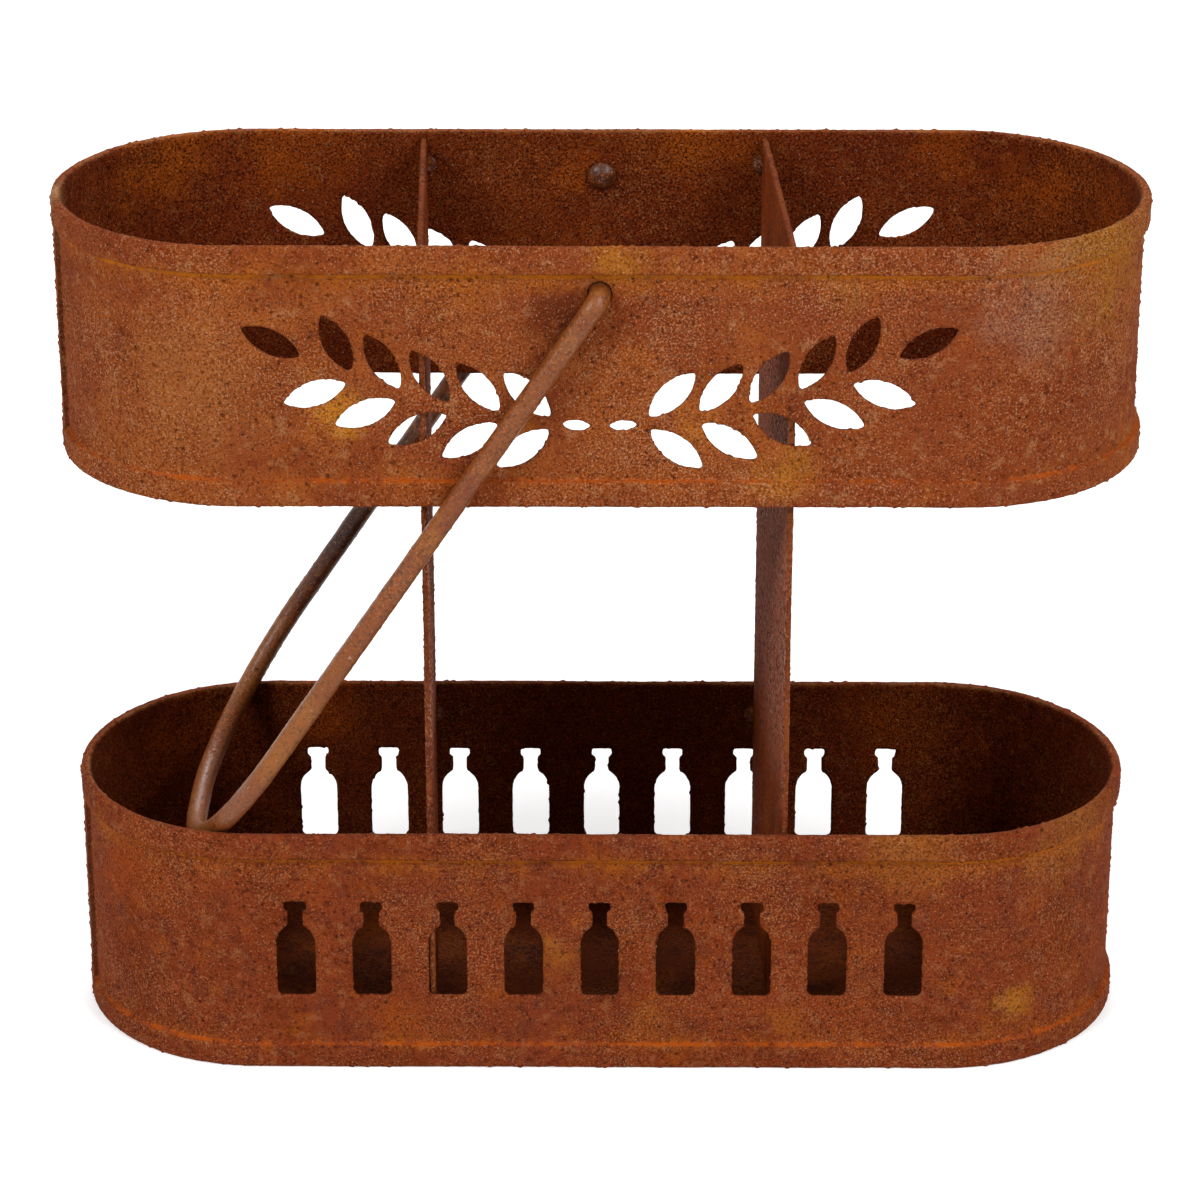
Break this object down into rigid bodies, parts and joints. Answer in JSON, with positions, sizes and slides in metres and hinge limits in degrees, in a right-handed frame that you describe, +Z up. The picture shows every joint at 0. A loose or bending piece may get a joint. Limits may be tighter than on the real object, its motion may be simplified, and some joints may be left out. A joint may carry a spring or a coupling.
{
  "type": "bottle caddy",
  "caption": "Rusted sheet-steel bottle caddy: two hemmed bands with round ends, one above the other, joined by upright partitions, with a floor and a swinging rod bail.",
  "frame": {"origin": "middle of the underside, on the surface that the caddy stands on", "axes": "+X to the right along the row of cells, +Y to the back, +Z up"},
  "size_m": [0.216, 0.0848, 0.1772],
  "materials": {
    "rusted_sheet_steel": "uncoated mild steel sheet under an even coat of orange-brown rust, matt and grainy",
    "rusted_steel_rod": "uncoated mild steel rod, rusted brown, smoother than the sheet with a dull sheen",
    "rusted_weld_metal": "bare weld metal, rusted dark brown, matt"
  },
  "bodies": {
    "frame": {"lower_band": "rusted_sheet_steel", "upper_band": "rusted_sheet_steel", "tray_floor": "rusted_sheet_steel", "left_partition": "rusted_sheet_steel", "right_partition": "rusted_sheet_steel", "floor_tack_welds": "rusted_weld_metal", "left_upper_tack_welds": "rusted_weld_metal", "left_lower_tack_welds": "rusted_weld_metal", "right_upper_tack_welds": "rusted_weld_metal", "right_lower_tack_welds": "rusted_weld_metal"},
    "bail": {"bail_handle": "rusted_steel_rod"}
  },
  "joints": [
    {"name": "bail_swing", "type": "hinge", "parent": "frame", "child": "bail", "pos_m": [0, 0, 0.1678], "axis": [0, 1, 0], "range_deg": [0, 292.5]}
  ]
}
